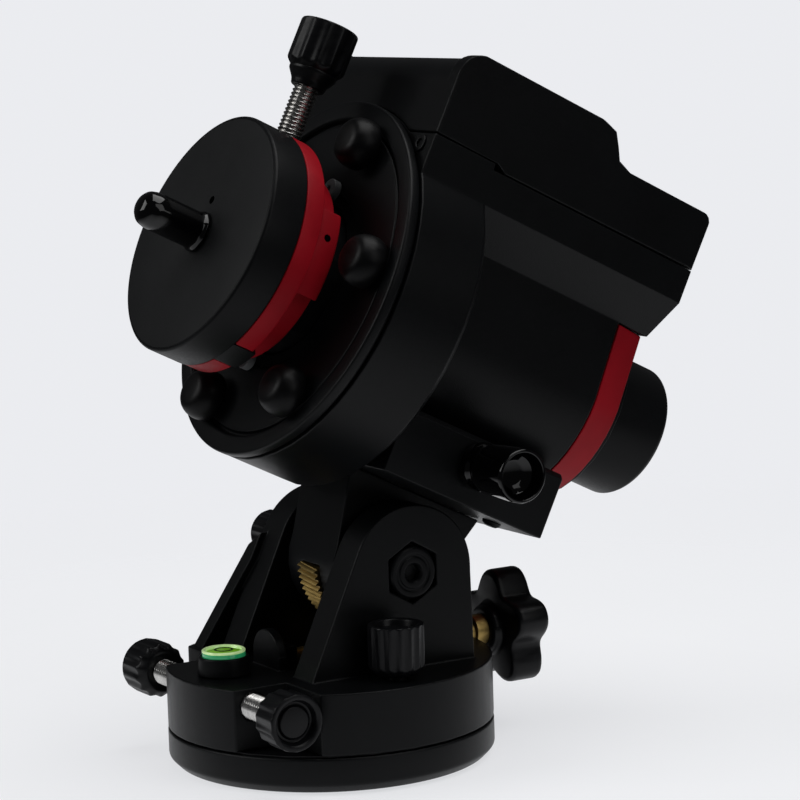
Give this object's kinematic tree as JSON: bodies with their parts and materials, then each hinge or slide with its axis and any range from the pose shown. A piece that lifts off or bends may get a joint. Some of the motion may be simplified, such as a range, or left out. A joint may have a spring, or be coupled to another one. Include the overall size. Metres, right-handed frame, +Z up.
{
  "type": "star tracker mount",
  "caption": "Equatorial star tracker mount with tilting right ascension head, camera clutch block, polar scope and azimuth base.",
  "frame": {"origin": "middle of the footprint box, at the height of the tripod plate's underside; the azimuth axis stands at x -0.9, y -30.9 mm", "axes": "+Z up along the azimuth axis, -Y towards the camera end, +X across the fork; the right ascension axis leans 26.53 degrees up from -Y"},
  "size_m": [0.1218, 0.18, 0.2252],
  "materials": {
    "cast_black": "matte textured powder coat",
    "satin_black": "satin anodised black",
    "red_anodised": "satin red",
    "knob_black": "moulded, slightly shiny",
    "rubber_black": "smooth rubber",
    "vinyl_black": "glossy dipped vinyl",
    "bright_steel": "bright turned steel",
    "brass": "machined brass",
    "grey_plastic": "moulded grey",
    "level_green": "clear acrylic with green fluid",
    "optical_glass": "coated glass",
    "board_green": "solder mask",
    "cell_wrap": "printed sleeve, plain"
  },
  "bodies": {
    "tripod": {"tripod_plate": "cast_black", "thread_insert": "bright_steel", "azimuth_peg": "bright_steel", "azimuth_spindle": "bright_steel", "spindle_screw": "bright_steel"},
    "azimuth": {"azimuth_base": "cast_black", "glide_ring": "knob_black", "level_cup": "satin_black", "level_vial": "level_green", "pivot_bolt": "satin_black"},
    "azimuth_lock": {"azimuth_lock_knob": "knob_black"},
    "latitude_lock": {"latitude_lock_knob": "knob_black"},
    "push_right": {"push_screw_right": "bright_steel", "push_knob_right": "knob_black"},
    "push_left": {"push_screw_left": "bright_steel", "push_knob_left": "knob_black"},
    "altitude_drive": {"altitude_worm": "brass", "altitude_star_knob": "knob_black"},
    "head": {"tilt_bracket": "cast_black", "altitude_sector": "brass", "saddle": "cast_black", "main_housing": "cast_black", "top_cover": "cast_black", "front_cover": "cast_black", "rear_ring": "red_anodised", "rear_plate": "satin_black", "bearing_front": "bright_steel", "bearing_rear": "bright_steel", "drive_motor": "bright_steel", "battery_tray": "grey_plastic", "circuit_board": "board_green", "power_socket": "bright_steel", "scope_tube": "satin_black", "objective_lens": "optical_glass", "reticle": "optical_glass", "eyepiece_lens": "optical_glass", "bumper_1": "rubber_black", "bumper_2": "rubber_black", "bumper_3": "rubber_black", "bumper_4": "rubber_black", "bumper_5": "rubber_black", "bumper_6": "rubber_black", "battery_1": "cell_wrap", "battery_2": "cell_wrap", "battery_3": "cell_wrap", "cover_screw_1": "grey_plastic", "cover_screw_2": "grey_plastic"},
    "saddle_clamp": {"saddle_clamp_knob": "vinyl_black"},
    "power": {"power_switch": "knob_black"},
    "ra_rotor": {"ra_shaft": "satin_black", "worm_wheel": "brass"},
    "ra_drive": {"ra_worm": "bright_steel"},
    "camera": {"camera_block": "satin_black", "clutch_ring": "red_anodised", "camera_stud": "bright_steel"},
    "clutch_lock": {"clutch_screw": "bright_steel", "clutch_knob": "knob_black"},
    "stud_cover": {"stud_cap": "vinyl_black"},
    "scope_cover": {"polar_cap": "satin_black"}
  },
  "joints": [
    {"name": "azimuth_turn", "type": "hinge", "parent": "tripod", "child": "azimuth", "pos_m": [-0.0009, -0.03094, 0.02], "axis": [0, 0, 1], "range_deg": [-8, 8]},
    {"name": "push_right_travel", "type": "slide", "parent": "azimuth", "child": "push_right", "axis": [1, 0, 0], "range_m": [-0.0055, 0.0055]},
    {"name": "push_left_travel", "type": "slide", "parent": "azimuth", "child": "push_left", "axis": [1, 0, 0], "range_m": [-0.0055, 0.0055]},
    {"name": "azimuth_lock_turn", "type": "hinge", "parent": "azimuth", "child": "azimuth_lock", "pos_m": [0.0371, -0.02944, 0.038], "axis": [0, 0, 1], "range_deg": [-180, 180]},
    {"name": "latitude_tilt", "type": "hinge", "parent": "azimuth", "child": "head", "pos_m": [-0.0009, -0.01744, 0.0589], "axis": [-1, 0, 0], "range_deg": [-26.5, 21]},
    {"name": "latitude_lock_turn", "type": "hinge", "parent": "azimuth", "child": "latitude_lock", "pos_m": [-0.0459, -0.01744, 0.0589], "axis": [-1, 0, 0], "range_deg": [-180, 180]},
    {"name": "altitude_worm_turn", "type": "hinge", "parent": "azimuth", "child": "altitude_drive", "pos_m": [-0.0009, -0.00094, 0.031], "axis": [0, 1, 0], "range_deg": [-1760, 1760]},
    {"name": "saddle_clamp_turn", "type": "hinge", "parent": "head", "child": "saddle_clamp", "pos_m": [0.0441, 0.00151, 0.09002], "axis": [1, 0, 0], "range_deg": [-180, 180]},
    {"name": "power_switch_travel", "type": "slide", "parent": "head", "child": "power", "axis": [1, 0, 0], "range_m": [-0.0015, 0.0015]},
    {"name": "ra_turn", "type": "hinge", "parent": "head", "child": "ra_rotor", "pos_m": [-0.0009, 0.00426, 0.1262], "axis": [0, -0.8947, 0.4467], "continuous": true},
    {"name": "ra_worm_turn", "type": "hinge", "parent": "head", "child": "ra_drive", "pos_m": [-0.0009, -0.00758, 0.17861], "axis": [1, 0, 0], "continuous": true},
    {"name": "camera_block_turn", "type": "hinge", "parent": "ra_rotor", "child": "camera", "pos_m": [-0.0009, -0.0548, 0.15568], "axis": [0, -0.8947, 0.4467], "continuous": true},
    {"name": "clutch_lock_turn", "type": "hinge", "parent": "camera", "child": "clutch_lock", "pos_m": [-0.0009, -0.02844, 0.20958], "axis": [0, 0.4467, 0.8947], "range_deg": [-180, 180]},
    {"name": "stud_cap_off", "type": "slide", "parent": "camera", "child": "stud_cover", "axis": [0, -0.8947, 0.4467], "range_m": [0, 0.03]},
    {"name": "polar_cap_off", "type": "slide", "parent": "head", "child": "scope_cover", "axis": [0, 0.8947, -0.4467], "range_m": [0, 0.03]}
  ],
  "couplings": [
    {"joint": "push_right_travel", "follows": "azimuth_turn", "m_per_rad": -0.0385},
    {"joint": "push_left_travel", "follows": "azimuth_turn", "m_per_rad": -0.0385},
    {"joint": "altitude_worm_turn", "follows": "latitude_tilt", "ratio": 66},
    {"joint": "ra_worm_turn", "follows": "ra_turn", "ratio": 144}
  ]
}
